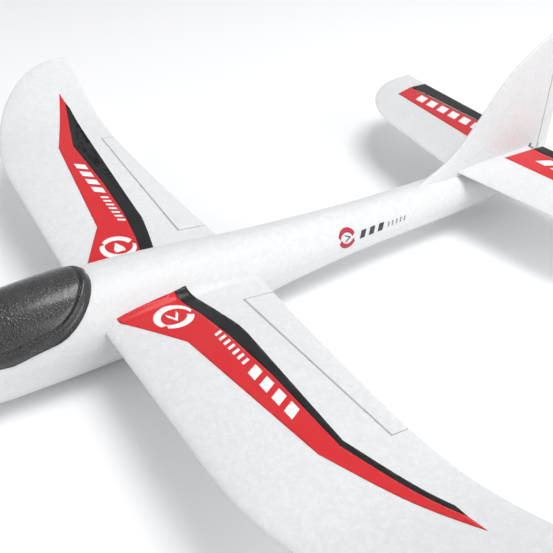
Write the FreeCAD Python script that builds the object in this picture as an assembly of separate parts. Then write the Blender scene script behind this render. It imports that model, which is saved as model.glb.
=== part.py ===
import FreeCAD, Part
import math
import os

# Foam glider, millimetres.  Nose towards -Y, port wing towards +X, up is +Z.
# The origin is under the middle of the bounding box, on the surface the belly rests on.

V = FreeCAD.Vector

# ---- wing
span = 800.0
wing_le = -195.0             # leading edge of the straight inner part
wing_te_root = -44.0         # trailing edge on the centre line
wing_te_tip = -63.5          # trailing edge at the tip
wing_z_te = 45.0             # height of the trailing edge on the centre line
wing_rise = 0.1              # dihedral, height gained per length of span
wing_incidence = 4.8         # leading edge above trailing edge
tip_round_start = 215.0      # where the leading edge begins to curve back
tip_chord = 11.5
tip_upturn_start = 289.0
tip_upturn = 32.7            # extra height of the tip above the straight panel
tip_upturn_power = 1.6
wing_thickness = 0.085       # share of the chord
wing_camber = 0.012          # share of the chord
edge_thickness = 1.6         # blunt foam trailing edges
te_straight = 250.0          # span over which the trailing edge falls back
te_curve = 0.8
te_bow = 4.0                 # how far the trailing edge bows aft at mid span

# ---- fuselage
nose_y = -355.0
tail_y = 336.6
belly_z = 0.0
belly_overlap = 0.9          # how far the sections reach under the flat belly before it is cut
body_a = 41.4                # half width at the wing
body_z = 44.0                # height of the centre line at the wing
boom_r = 22.9
boom_z = 37.7
tail_half = 6.2              # half width of the tail post

# ---- canopy
canopy_half = 36.5
canopy_rear_y = -193.0
canopy_rear_round = 42.0
canopy_front_y = nose_y + 27.0
canopy_front_round = 66.0
canopy_proud = 5.0
canopy_side = 0.8
canopy_gap = 0.3

# ---- equipment bay
bay_half = 22.0
bay_front = nose_y + 70.0
bay_rear = -205.0
bay_floor = 12.0
nose_bay_half = 15.0
nose_bay_front = nose_y + 36.0
nose_bay_floor = 25.0

# ---- tail surfaces
stab_half_span = 234.0
stab_z = 64.2
stab_le_root = 213.0
stab_sweep = 0.14
stab_te_root = 336.0
stab_te_tip = 349.0
stab_thickness = 0.052
stab_round_start = 125.0
stab_tip_chord = 13.0
fin_te = 355.0
fin_half_base = 5.8
fin_half_top = 1.6
fin_base_z = 58.0
fin_outline = [(160.0, 58.0), (178.6, 67.1), (201.7, 79.6), (223.8, 99.8), (243.1, 122.9),
               (269.1, 154.2), (295.5, 174.9), (324.4, 189.8), (340.0, 196.0), (347.0, 199.0)]

# ---- control surfaces
aileron_y = -82.0
aileron_in = 63.0
aileron_out = 254.0
elevator_y = 321.0
elevator_in = 11.5
elevator_out = 197.0
rudder_y = 338.0
rudder_bottom = 22.0
hinge_gap = 0.4              # from the hinge line to either surface
end_gap = 0.8
bevel = 28.0                 # degrees, on both faces of the moving surface
block_height = 40.0          # cutting blocks, well past any surface
block_depth = 90.0

# ---- hinges
leaf_thickness = 0.6
leaf_reach = 7.0
knuckle_r = 1.2
knuckle_length = 2.8
knuckle_space = 0.2
pin_r = 0.46
pin_fit = 0.04
pocket_r = knuckle_r + 0.4
pocket_end = 0.6             # room past each end of the knuckles
aileron_hinges = [22.0, 96.0, 170.0]
elevator_hinges = [26.0, 92.0, 158.0]
rudder_hinges = [8.0, 70.0, 140.0]

# ---- linkages
wing_arm = 9.0
tail_arm = 12.0
rod_r = 0.6
rod_fit = 0.05
blade = 1.6
blade_edge = 1.9             # material round a rod hole
guide_bore = rod_r + 0.55
guide_r = guide_bore + 0.55
channel_r = guide_r + 0.1
guide_front = -196.0
elevator_guide_rear = 232.0
rudder_guide_rear = 292.0
guide_lift = 0.36            # half the arc height of a rod
rod_out = 0.5 * blade + rod_r + 0.3   # from the middle of a blade to the rod beside it
servo_length = 23.0
servo_width = 12.2
servo_height = 19.0
servo_ear = 4.8
servo_shaft_offset = 6.1
servo_shaft_r = 2.0
hub_r = 3.2
hub_height = 3.4
ear_drop = 4.0               # from the servo's shaft end to its ears
ear_thickness = 1.6
aileron_drive = 84.0         # along the hinge line, from its inner end
aileron_shaft_ahead = 46.0   # servo shaft ahead of the hinge line
aileron_shaft_up = 0.6
aileron_servo_width = 9.0
elevator_shaft = V(-8.0, -226.0, 54.0)
elevator_horn_x = -16.0
rudder_shaft = V(-4.0, -258.0, 38.0)
rudder_horn_z = 44.0
arm_side = 3.0               # room beside a servo arm
arm_swing = 5.2              # half the slot an arm swings in, ahead and behind

# ---- equipment
joiner_r = 3.0
joiner_half = 110.0
joiner_y = -149.0
spar_r = 3.0
spar_z = 27.0
spar_front = -130.0
spar_rear = 290.0
magnet_r = 2.5
magnet_t = 1.6
magnet_cover = 0.3         # foam or paint over a magnet face
magnet_inset = 6.2           # magnet centre inside the canopy edge at front and rear
elevator_joiner_r = 1.2
elevator_joiner_reach = 26.0
elevator_joiner_y = elevator_y + 4.6
tray_thickness = 2.4
tray_rear = -234.0
battery_length = 41.0
battery_half = 14.0
battery_height = 15.0
receiver_x = -18.0
receiver_y = -232.0
receiver_size = (16.0, 25.0, 11.0)
ballast_r = 7.0
ballast_front = nose_y + 12.0
ballast_length = 18.0
ballast_z = 39.0

HUGE = 1200.0
os.makedirs("parts", exist_ok=True)
nodes = {}


def box(x0, x1, y0, y1, z0, z1):
    return Part.makeBox(x1 - x0, y1 - y0, z1 - z0, V(x0, y0, z0))


def rod(p, q, radius):
    return Part.makeCylinder(radius, (q - p).Length, p, q - p)


def tube(p, q, outer, bore):
    return rod(p, q, outer).cut(rod(p, q, bore))


def mirrored(shape):
    return shape.mirror(V(0, 0, 0), V(1, 0, 0))


def fused(shapes):
    shape = shapes[0]
    for other in shapes[1:]:
        shape = shape.fuse(other)
    return shape


def together(shapes):
    return Part.makeCompound(shapes)


def prism(points, direction):
    wire = Part.makePolygon(points + [points[0]])
    return Part.Face(wire).extrude(direction)


# ---------------------------------------------------------------- foil surfaces

def half_thickness(f):
    return 5.0 * (0.2969 * math.sqrt(f) - 0.1260 * f - 0.3516 * f * f + 0.2843 * f ** 3 - 0.1036 * f ** 4)


def camber_line(f):
    return 1.0 - (2.0 * f - 0.8) ** 2 / (0.64 if f < 0.4 else 1.44)


def foil(le, te, chordwise, normal, thickness, camber):
    """Closed foil section between two points, with a blunt trailing edge."""
    chord = (te - le).Length
    steps = 14
    upper = []
    lower = []
    for i in range(steps + 1):
        f = 0.5 * (1.0 - math.cos(math.pi * i / steps))
        half = half_thickness(f) * thickness * chord + 0.5 * edge_thickness * f ** 2
        mean = camber_line(f) * camber * chord
        centre = le + (te - le) * f
        upper.append(centre + normal * (mean + half))
        lower.append(centre + normal * (mean - half))
    skin = Part.BSplineCurve()
    skin.interpolate(upper[::-1] + lower[1:])
    return Part.Wire([skin.toShape(), Part.LineSegment(lower[-1], upper[-1]).toShape()])


def rounded_back(at, start, end, depth):
    """How far an elliptical tip has curved back at a place along the span."""
    if at <= start:
        return 0.0
    t = min(1.0, (at - start) / (end - start))
    return depth * (1.0 - math.sqrt(max(0.0, 1.0 - t * t)))


def wing_edges(x):
    te_y = wing_te_root + (wing_te_tip - wing_te_root) * min(1.0, x / te_straight) ** te_curve
    te_y = te_y - te_bow * math.sin(math.pi * min(1.0, x / (0.5 * span)))
    depth = wing_te_tip - tip_chord - wing_le
    le_y = wing_le + rounded_back(x, tip_round_start, 0.5 * span, depth)
    lift = 0.0
    if x > tip_upturn_start:
        share = (x - tip_upturn_start) / (0.5 * span - tip_upturn_start)
        lift = tip_upturn * share ** tip_upturn_power
    z_te = wing_z_te + wing_rise * x + lift
    z_le = z_te + wing_incidence * (te_y - le_y) / (wing_te_root - wing_le)
    return V(x, le_y, z_le), V(x, te_y, z_te)


def wing_mean(x, y):
    """Point on the mean line of the wing."""
    le, te = wing_edges(x)
    f = (y - le.y) / (te.y - le.y)
    mean = camber_line(f) * wing_camber * (te - le).Length
    return le + (te - le) * f + V(0, 0, mean)


def stations(reach, count):
    """Places along a span that close up evenly towards the tip."""
    return [reach * math.sin(0.5 * math.pi * i / count) for i in range(count + 1)]


def wing_blank():
    wires = []
    for x in stations(0.5 * span, 18):
        le, te = wing_edges(x)
        wires.append(foil(le, te, V(0, 1, 0), V(0, 0, 1), wing_thickness, wing_camber))
    return Part.makeLoft(wires, True, False)


def stab_edges(x):
    le_y = stab_le_root + stab_sweep * x
    te_y = stab_te_root + (stab_te_tip - stab_te_root) * x / stab_half_span
    depth = stab_te_tip - stab_tip_chord - (stab_le_root + stab_sweep * stab_half_span)
    le_y = le_y + rounded_back(x, stab_round_start, stab_half_span, depth)
    return V(x, le_y, stab_z), V(x, te_y, stab_z)


def stab_blank():
    wires = []
    for x in stations(stab_half_span, 14):
        le, te = stab_edges(x)
        wires.append(foil(le, te, V(0, 1, 0), V(0, 0, 1), stab_thickness, 0.0))
    return Part.makeLoft(wires, True, False)


def fin_blank():
    wires = []
    top = fin_outline[-1][1]
    for y, z in fin_outline:
        half = fin_half_base + (fin_half_top - fin_half_base) * (z - fin_base_z) / (top - fin_base_z)
        chord = fin_te - y
        ratio = min(2.0 * half / chord, 0.30)
        wires.append(foil(V(0, y, z), V(0, fin_te, z), V(0, 1, 0), V(1, 0, 0), ratio, 0.0))
    return Part.makeLoft(wires, True, False)


# ---------------------------------------------------------------- fuselage

# place along Y, half width, half height above and below the centre line, centre height
def sections():
    low = body_z - belly_z + belly_overlap
    return [
        (nose_y, 7.0, 7.0, 7.0, 37.0),
        (nose_y + 6.0, 15.5, 16.0, 16.0, 38.0),
        (nose_y + 18.0, 24.0, 25.5, 26.0, 40.0),
        (nose_y + 38.0, 30.8, 33.5, 35.0, 42.0),
        (nose_y + 66.0, 36.0, 40.0, 43.5, 43.5),
        (nose_y + 100.0, 39.0, 43.6, low, body_z),
        (-210.0, body_a - 0.4, 44.0, low, body_z),
        (-170.0, 40.8, 42.4, low, body_z),
        (-125.0, 38.8, 40.0, 43.3, 42.6),
        (-80.0, 35.6, 36.0, 41.6, 41.2),
        (-40.0, 32.3, 32.4, 35.2, 40.2),
        (20.0, 28.2, 28.2, 28.6, 39.7),
        (75.0, 25.2, 25.2, 25.2, 39.0),
        (140.0, 23.5, 23.5, 23.5, 38.2),
        (200.0, boom_r, boom_r, boom_r, boom_z),
        (250.0, 21.4, 21.6, 21.6, 37.6),
        (290.0, 17.2, 20.4, 20.4, 37.4),
        (315.0, 11.4, 19.6, 19.4, 37.2),
        (tail_y, tail_half, 19.0, 18.6, 37.0),
    ]


def ring(y, a, top, low, z):
    points = []
    for i in range(20):
        t = 2.0 * math.pi * i / 20
        up = math.sin(t)
        points.append(V(a * math.cos(t), y, z + (top if up > 0 else low) * up))
    skin = Part.BSplineCurve()
    skin.interpolate(Points=points, PeriodicFlag=True)
    return Part.Wire([skin.toShape()])


def body_loft(grow_side, grow_top):
    wires = []
    for y, a, top, low, z in sections():
        wires.append(ring(y, a + grow_side, top + grow_top, low, z))
    return Part.makeLoft(wires, True, False)


def plan_outline(inset):
    """Points of the canopy outline, half an ellipse at each end."""
    half = canopy_half - inset
    rear_c = canopy_rear_y - canopy_rear_round
    front_c = canopy_front_y + canopy_front_round
    steps = 10
    rear = []
    front = []
    for i in range(steps + 1):
        t = math.pi * i / steps
        rear.append(V(half * math.cos(t), rear_c + (canopy_rear_round - inset) * math.sin(t), 46.0))
        front.append(V(-half * math.cos(t), front_c - (canopy_front_round - inset) * math.sin(t), 46.0))
    rear_curve = Part.BSplineCurve()
    rear_curve.interpolate(Points=rear, InitialTangent=V(0, 1, 0), FinalTangent=V(0, -1, 0))
    front_curve = Part.BSplineCurve()
    front_curve.interpolate(Points=front, InitialTangent=V(0, -1, 0), FinalTangent=V(0, 1, 0))
    edges = [rear_curve.toShape(), Part.LineSegment(rear[-1], front[0]).toShape()]
    edges = edges + [front_curve.toShape(), Part.LineSegment(front[-1], rear[0]).toShape()]
    return Part.Face(Part.Wire(edges)).extrude(V(0, 0, 70.0))


def equipment_bay():
    main = box(-bay_half, bay_half, bay_front, bay_rear, bay_floor, 120.0)
    front = box(-nose_bay_half, nose_bay_half, nose_bay_front, bay_front + 1.0, nose_bay_floor, 120.0)
    return main.fuse(front)


# ---------------------------------------------------------------- hinges and linkages

class Line:
    """A hinge line: a start, a direction and the direction that is upwards from the surface."""

    def __init__(self, start, end, up):
        self.start = start
        self.length = (end - start).Length
        self.u = (end - start).normalize()
        self.back = V(0, 1, 0)
        self.up = (up - self.u * up.dot(self.u)).normalize()

    def at(self, along, back=0.0, up=0.0):
        return self.start + self.u * along + self.back * back + self.up * up


def moving_block(line):
    high = block_height
    far = block_depth
    slope = hinge_gap + high * math.tan(math.radians(bevel))
    corners = [(hinge_gap, 0.0), (slope, high), (far, high), (far, -high), (slope, -high)]
    return prism([line.at(0.0, b, h) for b, h in corners], line.u * line.length)


def fixed_cutter(line):
    high = block_height
    corners = [(-hinge_gap, high), (block_depth, high), (block_depth, -high), (-hinge_gap, -high)]
    return prism([line.at(-end_gap, b, h) for b, h in corners], line.u * (line.length + 2.0 * end_gap))


def hinge_set(line, places):
    fixed = []
    moving = []
    pins = []
    pockets = []
    step = knuckle_length + knuckle_space
    for place in places:
        first = place - 1.5 * step + 0.5 * knuckle_space
        for i in range(3):
            a = first + i * step
            barrel = rod(line.at(a), line.at(a + knuckle_length), knuckle_r)
            side = -1.0 if i == 1 else 1.0
            half = 0.5 * leaf_thickness
            reach = side * leaf_reach
            corners = [(0.0, -half), (reach, -half), (reach, half), (0.0, half)]
            leaf = prism([line.at(a, b, h) for b, h in corners], line.u * knuckle_length)
            piece = barrel.fuse(leaf)
            bore = pin_r + (pin_fit if i == 1 else 0.0)
            piece = piece.cut(rod(line.at(a - 1.0), line.at(a + knuckle_length + 1.0), bore))
            (fixed if i == 1 else moving).append(piece)
        last = first + 2.0 * step + knuckle_length
        pins.append(rod(line.at(first), line.at(last), pin_r))
        pockets.append(rod(line.at(first - pocket_end), line.at(last + pocket_end), pocket_r))
    return together(fixed), together(moving), together(pins), fused(pockets)


def control_surface(blank, line, places):
    """Split a blank into its fixed and moving parts, with hinges let into both."""
    fixed_leaf, moving_leaf, pins, pockets = hinge_set(line, places)
    moving = blank.common(moving_block(line)).cut(pockets).cut(moving_leaf)
    fixed = blank.cut(fixed_cutter(line)).cut(pockets).cut(fixed_leaf)
    return fixed, moving, fixed_leaf, moving_leaf, pins


def horn_shape(line, along, arm, side, skin):
    """Horn with its rod hole level with the hinge line, at the arm's length; side is +1 up or -1 down."""
    e = blade_edge
    outline = [(1.6, 0.4 * skin), (9.0, 0.4 * skin), (9.0, skin + 1.0), (e, arm), (-e, arm), (-e, arm - 1.2)]
    points = [line.at(along - 0.5 * blade, b, side * h) for b, h in outline]
    plate = prism(points, line.u * blade)
    level = side * arm
    tip = rod(line.at(along - 0.5 * blade, 0.0, level), line.at(along + 0.5 * blade, 0.0, level), e)
    hole = rod(line.at(along - blade, 0.0, level), line.at(along + blade, 0.0, level), rod_r + rod_fit)
    return plate.fuse(tip).cut(hole)


def arm_shape(pivot, u, down, arm, toward):
    """Servo arm, a hub on the shaft and a blade to the rod hole. toward points from blade to servo."""
    a = pivot - u * (0.5 * blade)
    b = pivot + u * (0.5 * blade)
    hub = rod(pivot - toward * (0.5 * blade), pivot + toward * (hub_height - 0.5 * blade), hub_r)
    end = rod(a + down * arm, b + down * arm, blade_edge)
    side = u.cross(down).normalize()
    corners = [a + side * hub_r * 0.8, a + down * arm + side * blade_edge,
               a + down * arm - side * blade_edge, a - side * hub_r * 0.8]
    body = fused([hub, end, prism(corners, u * blade)])
    hole = rod(a + down * arm - u, b + down * arm + u, rod_r + rod_fit)
    shaft = rod(pivot, pivot + toward * (hub_height + 1.0), servo_shaft_r)
    return body.cut(hole).cut(shaft)


def pushrod_shape(p, q, u, side):
    """Wire with an end pin through the hole at each end. side says on which face of the blades it runs."""
    out = u * (side * rod_out)
    inn = u * (-side * (0.5 * blade + 0.5))
    wire = [rod(p + out, q + out, rod_r), rod(p + out, p + inn, rod_r), rod(q + out, q + inn, rod_r)]
    for corner in (p + out, q + out):
        wire.append(Part.makeSphere(rod_r, corner))
    return fused(wire)


def servo_shape(pivot, toward, length_dir, width, height):
    """Servo with two ears. Its shaft points away from toward and carries the arm at pivot."""
    top = pivot + toward * hub_height
    side = toward.cross(length_dir).normalize()
    corner = top - length_dir * servo_shaft_offset - side * (0.5 * width)
    far = corner + length_dir * servo_length
    case = prism([corner, far, far + side * width, corner + side * width], toward * height)
    ear_start = corner - length_dir * servo_ear + toward * ear_drop
    reach = servo_length + 2.0 * servo_ear
    ear_end = ear_start + length_dir * reach
    ears = prism([ear_start, ear_end, ear_end + side * width, ear_start + side * width], toward * ear_thickness)
    boss = rod(top - toward * 0.2, top + toward * 1.0, 5.0)
    shaft = rod(pivot + toward * 0.1, top + toward * 1.0, servo_shaft_r)
    return fused([case, ears, boss, shaft])


# ---------------------------------------------------------------- wing, ailerons and their drive

wing = wing_blank()
body = body_loft(0.0, 0.0)
aileron_line = Line(wing_mean(aileron_in, aileron_y), wing_mean(aileron_out, aileron_y), V(0, 0, 1))
panel, aileron, a_fixed, a_moving, a_pins = control_surface(wing, aileron_line, aileron_hinges)
panel = panel.common(box(0, HUGE, -HUGE, HUGE, -HUGE, HUGE)).cut(body)

a_down = aileron_line.up * -1.0
horn_hole = aileron_line.at(aileron_drive, 0.0, -wing_arm)
arm_pivot = aileron_line.at(aileron_drive, -aileron_shaft_ahead, aileron_shaft_up)
arm_hole = arm_pivot + a_down * wing_arm
a_toward = aileron_line.u * -1.0
a_horn = horn_shape(aileron_line, aileron_drive, wing_arm, -1.0, 2.4)
a_arm = arm_shape(arm_pivot, aileron_line.u, a_down, wing_arm, a_toward)
a_rod = pushrod_shape(arm_hole, horn_hole, aileron_line.u, 1.0)
a_servo = servo_shape(arm_pivot, a_toward, V(0, -1, 0), aileron_servo_width, servo_height)
beside = a_toward * -arm_side
room_depth = a_toward * (arm_side + hub_height + 0.4)
swing = V(0, arm_swing, 0)
deep = a_down * 20.0
slot_corners = [arm_pivot - swing, arm_pivot + swing, arm_pivot + swing + deep, arm_pivot - swing + deep]
arm_slot = prism([corner + beside for corner in slot_corners], room_depth)
arm_room = arm_slot.fuse(rod(arm_pivot + beside, arm_pivot + beside + room_depth, hub_r + 0.8))
aileron = aileron.cut(a_horn)
joiner_port = rod(V(0, joiner_y, wing_mean(0, joiner_y).z), wing_mean(joiner_half, joiner_y), joiner_r)
joiner = joiner_port.fuse(mirrored(joiner_port)).removeSplitter()
panel = panel.cut(a_servo).cut(arm_room).cut(joiner)

nodes["wing_left_panel"] = panel
nodes["aileron_left"] = aileron
nodes["aileron_left_fixed_leaves"] = a_fixed
nodes["aileron_left_moving_leaves"] = a_moving
nodes["aileron_left_hinge_pins"] = a_pins
nodes["aileron_left_horn"] = a_horn
nodes["aileron_left_servo"] = a_servo
nodes["aileron_left_servo_arm"] = a_arm
nodes["aileron_left_pushrod"] = a_rod
for name in [n for n in nodes if "left" in n]:
    nodes[name.replace("left", "right")] = mirrored(nodes[name])
nodes["wing_joiner"] = joiner

# ---------------------------------------------------------------- stabiliser and elevator

stab_port = stab_blank()
elevator_line = Line(V(elevator_in, elevator_y, stab_z), V(elevator_out, elevator_y, stab_z), V(0, 0, 1))
stab_half, elevator_port, e_fixed, e_moving, e_pins = control_surface(stab_port, elevator_line, elevator_hinges)
middle = box(-elevator_in - end_gap, elevator_in + end_gap, elevator_y - hinge_gap, HUGE, 0, HUGE)
stab_half = stab_half.common(box(0, HUGE, -HUGE, HUGE, -HUGE, HUGE))
stabiliser = stab_half.fuse(mirrored(stab_half)).cut(middle).removeSplitter()
joiner_end = V(elevator_joiner_reach, elevator_joiner_y, stab_z)
elevator_joiner = rod(V(-joiner_end.x, joiner_end.y, joiner_end.z), joiner_end, elevator_joiner_r)
starboard_line = Line(V(-elevator_out, elevator_y, stab_z), V(-elevator_in, elevator_y, stab_z), V(0, 0, 1))
horn_along = elevator_horn_x + elevator_out
elevator_horn = horn_shape(starboard_line, horn_along, tail_arm, -1.0, 2.3).cut(elevator_joiner)
elevator_starboard = mirrored(elevator_port).cut(elevator_horn).cut(elevator_joiner)
elevator_port = elevator_port.cut(elevator_joiner)
nodes["stabiliser"] = stabiliser
nodes["elevator_left"] = elevator_port
nodes["elevator_right"] = elevator_starboard
nodes["elevator_joiner"] = elevator_joiner
nodes["elevator_horn"] = elevator_horn
nodes["elevator_fixed_leaves"] = together([e_fixed, mirrored(e_fixed)])
nodes["elevator_moving_leaves"] = together([e_moving, mirrored(e_moving)])
nodes["elevator_hinge_pins"] = together([e_pins, mirrored(e_pins)])

e_shaft = elevator_shaft
down = V(0, 0, -1)
e_arm_hole = e_shaft + down * tail_arm
e_horn_hole = V(elevator_horn_x, elevator_y, stab_z - tail_arm)
elevator_arm = arm_shape(e_shaft, V(1, 0, 0), down, tail_arm, V(1, 0, 0))
elevator_rod = pushrod_shape(e_arm_hole, e_horn_hole, V(1, 0, 0), -1.0)
elevator_servo = servo_shape(e_shaft, V(1, 0, 0), V(0, 1, 0), servo_width, servo_height)
nodes["elevator_servo"] = elevator_servo
nodes["elevator_servo_arm"] = elevator_arm
nodes["elevator_pushrod"] = elevator_rod

# ---------------------------------------------------------------- fin and rudder

fin = fin_blank()
root_corners = [(-5.6, rudder_y - 16.0), (5.6, rudder_y - 16.0), (0.9, fin_te), (-0.9, fin_te)]
rudder_root = prism([V(x, y, rudder_bottom) for x, y in root_corners], V(0, 0, fin_base_z + 8.0 - rudder_bottom))
rudder_blank = fin.fuse(rudder_root)
fin_top = fin_outline[-1][1]
rudder_line = Line(V(0, rudder_y, rudder_bottom), V(0, rudder_y, fin_top + 1.0), V(1, 0, 0))
rudder, r_fixed, r_moving, r_pins = control_surface(rudder_blank, rudder_line, rudder_hinges)[1:]
rudder_horn = horn_shape(rudder_line, rudder_horn_z - rudder_bottom, tail_arm, 1.0, 3.2)
rudder = rudder.cut(rudder_horn)
out = V(1, 0, 0)
r_shaft = rudder_shaft
r_arm_hole = r_shaft + out * tail_arm
r_horn_hole = V(tail_arm, rudder_y, rudder_horn_z)
rudder_arm = arm_shape(r_shaft, V(0, 0, 1), out, tail_arm, V(0, 0, -1))
rudder_rod = pushrod_shape(r_arm_hole, r_horn_hole, V(0, 0, 1), 1.0)
rudder_servo = servo_shape(r_shaft, V(0, 0, -1), V(0, 1, 0), servo_width, servo_height)
nodes["rudder"] = rudder
nodes["rudder_horn"] = rudder_horn
nodes["rudder_fixed_leaves"] = r_fixed
nodes["rudder_moving_leaves"] = r_moving
nodes["rudder_hinge_pins"] = r_pins
nodes["rudder_servo"] = rudder_servo
nodes["rudder_servo_arm"] = rudder_arm
nodes["rudder_pushrod"] = rudder_rod

# ---------------------------------------------------------------- guide tubes


def on_rod(p, q, shift, y):
    """Point on the middle of a rod's path at a place along the body."""
    direction = (q - p).normalize()
    return p + direction * ((y - p.y) / direction.y) + shift


def guided(p, q, shift, front, rear):
    """Guide tube for a rod, and the channel the body needs for tube and rod."""
    a = on_rod(p, q, shift, front)
    b = on_rod(p, q, shift, rear)
    tube_room = rod(a, b, guide_r)
    channel = rod(on_rod(p, q, shift, bay_rear - 6.0), on_rod(p, q, shift, fin_te - 9.0), channel_r)
    channel = channel.cut(rod(a, b, channel_r + 1.0))
    return tube(a, b, guide_r, guide_bore), tube_room.fuse(channel)


e_tube, e_room = guided(e_arm_hole, e_horn_hole, V(-rod_out, 0, guide_lift), guide_front, elevator_guide_rear)
r_tube, r_room = guided(r_arm_hole, r_horn_hole, V(-guide_lift, 0, rod_out), guide_front, rudder_guide_rear)
nodes["elevator_guide_tube"] = e_tube
nodes["rudder_guide_tube"] = r_tube

# ---------------------------------------------------------------- equipment

tray_top = r_shaft.z - hub_height - ear_drop - ear_thickness
tray = box(-bay_half, bay_half, bay_front + 10.0, tray_rear, tray_top - tray_thickness, tray_top)
side_x = e_shaft.x + hub_height + ear_drop + ear_thickness
side_tray = box(side_x, side_x + tray_thickness, tray_rear - 6.0, bay_rear, bay_floor, 66.0)
side_tray = side_tray.cut(box(-bay_half, bay_half, tray_rear - 16.0, tray_rear + 0.2, 0.0, r_shaft.z))
receiver_end = [a + b for a, b in zip((receiver_x, receiver_y, bay_floor), receiver_size)]
battery_front = nose_bay_front + 1.0
battery_top = nose_bay_floor + battery_height
spar_room = rod(V(0, spar_front, spar_z), V(0, spar_rear, spar_z), spar_r)
spar_bore = rod(V(0, spar_front, spar_z), V(0, spar_rear, spar_z), spar_r - 1.0)
ballast_start = V(0, ballast_front, ballast_z)
nodes["servo_tray"] = tray.cut(rudder_servo)
nodes["servo_side_tray"] = side_tray.cut(elevator_servo)
nodes["battery_pack"] = box(-battery_half, battery_half, battery_front, battery_front + battery_length,
                            nose_bay_floor, battery_top)
nodes["receiver"] = box(receiver_x, receiver_end[0], receiver_y, receiver_end[1], bay_floor, receiver_end[2])
nodes["nose_ballast"] = rod(ballast_start, ballast_start + V(0, ballast_length, 0), ballast_r)
nodes["boom_spar"] = spar_room.cut(spar_bore)

# ---------------------------------------------------------------- canopy


def surface_top(y):
    """Height of the top of the body at a place along it."""
    needle = Part.LineSegment(V(0, y, body_z), V(0, y, body_z + 90.0)).toShape()
    return max(point.Z for point in needle.common(body).Vertexes)


def magnet_pair(y):
    """A magnet in the body and its partner in the canopy above it."""
    lower = min(surface_top(y - magnet_r), surface_top(y + magnet_r)) - magnet_cover
    upper = max(surface_top(y - magnet_r), surface_top(y + magnet_r)) + canopy_gap + magnet_cover
    low = rod(V(0, y, lower - magnet_t), V(0, y, lower), magnet_r)
    high = rod(V(0, y, upper), V(0, y, upper + magnet_t), magnet_r)
    return low, high


pairs = [magnet_pair(canopy_rear_y - magnet_inset), magnet_pair(canopy_front_y + magnet_inset - 1.2)]
body_magnets = together([low for low, high in pairs])
canopy_magnets = together([high for low, high in pairs])
canopy = body_loft(canopy_side, canopy_proud).common(plan_outline(0.0)).cut(body_loft(canopy_gap, canopy_gap))
canopy = max(canopy.Solids, key=lambda piece: piece.Volume)
nodes["canopy_shell"] = canopy.cut(canopy_magnets)
nodes["canopy_magnets"] = canopy_magnets
nodes["fuselage_magnets"] = body_magnets

# ---------------------------------------------------------------- fuselage halves

joiner_slot = box(-20.0, 20.0, joiner_end.y - 2.3, joiner_end.y + 2.5, stab_z - 3.9, stab_z + 3.9)
horn_room = box(3.0, 20.0, rudder_y - 9.0, rudder_y + 9.0, rudder_horn_z - 3.0, rudder_horn_z + 3.0)
fixed_fin = fin.cut(fixed_cutter(rudder_line))
full = body.fuse(fixed_fin)
full = full.cut(box(-HUGE, HUGE, -HUGE, HUGE, -HUGE, belly_z))
removed = [equipment_bay(), elevator_servo, rudder_servo, e_room, r_room, spar_room, joiner, stabiliser]
removed = removed + [joiner_slot, horn_room, nodes["nose_ballast"], body_magnets, r_fixed]
removed = removed + [tray, side_tray]
removed.append(hinge_set(rudder_line, rudder_hinges)[3])
for piece in removed:
    full = full.cut(piece)
nodes["fuselage_left_half"] = full.common(box(0, HUGE, -HUGE, HUGE, -HUGE, HUGE))
nodes["fuselage_right_half"] = full.common(box(-HUGE, 0, -HUGE, HUGE, -HUGE, HUGE))

for name, shape in nodes.items():
    shape.exportStep("parts/" + name + ".step")
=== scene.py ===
"""Looks of a foam glider: foam surfaces, stickers, grained canopy, linkages and the stage around them."""

import math

import bmesh
import bpy
from bpy.props import FloatProperty, FloatVectorProperty, PointerProperty
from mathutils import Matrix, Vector
from mathutils.bvhtree import BVHTree


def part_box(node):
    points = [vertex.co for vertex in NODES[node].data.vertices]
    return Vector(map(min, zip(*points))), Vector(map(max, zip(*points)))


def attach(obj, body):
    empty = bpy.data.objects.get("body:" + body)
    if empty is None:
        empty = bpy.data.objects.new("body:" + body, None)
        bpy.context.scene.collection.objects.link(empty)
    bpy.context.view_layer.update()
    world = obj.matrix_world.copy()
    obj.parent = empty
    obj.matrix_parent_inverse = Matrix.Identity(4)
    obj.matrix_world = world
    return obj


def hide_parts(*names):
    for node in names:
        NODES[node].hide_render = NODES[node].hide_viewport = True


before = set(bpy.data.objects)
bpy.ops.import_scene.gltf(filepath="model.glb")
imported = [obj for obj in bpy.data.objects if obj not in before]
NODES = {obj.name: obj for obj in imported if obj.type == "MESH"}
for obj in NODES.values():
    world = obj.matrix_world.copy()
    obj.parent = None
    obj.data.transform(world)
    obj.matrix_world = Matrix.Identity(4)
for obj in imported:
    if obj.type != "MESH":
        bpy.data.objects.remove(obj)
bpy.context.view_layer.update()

bl_info = {
    "name": "Foam glider",
    "version": (1, 0, 0),
    "blender": (4, 5, 0),
    "location": "View3D > Sidebar > Glider",
    "description": "Builds the looks of a foam glider on its frame",
    "category": "Object",
}

MM = 0.001
DOWN = Vector((0, 0, -1))
ABOVE = 1.0                 # height from which the skins are searched downwards
WING_LEVEL = 0.07           # where the nearest skin is looked for when nothing lies below
STICKER_THICKNESS = 0.0001
MARK_RAISE = 0.00014        # white marks over the sticker that carries them
BADGE_GRID = 0.003
OUTLINE_SLACK = 0.0001      # the canopy stays this far inside its node's box


# ------------------------------------------------------------------ settings

class GliderFoam(bpy.types.PropertyGroup):
    colour: FloatVectorProperty(name="Foam colour", description="Colour of the bare foam", subtype="COLOR",
                                size=4, default=(0.745, 0.75, 0.755, 1.0))
    bead: FloatProperty(name="Bead size", description="Width of one foam bead", unit="LENGTH", default=0.0031)
    bead_depth: FloatProperty(name="Bead depth", description="Depth of the lines between beads",
                              unit="LENGTH", default=0.00004)
    fillet: FloatProperty(name="Fillet", description="Reach of the blend between wing and body",
                          unit="LENGTH", default=0.009)


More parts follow.
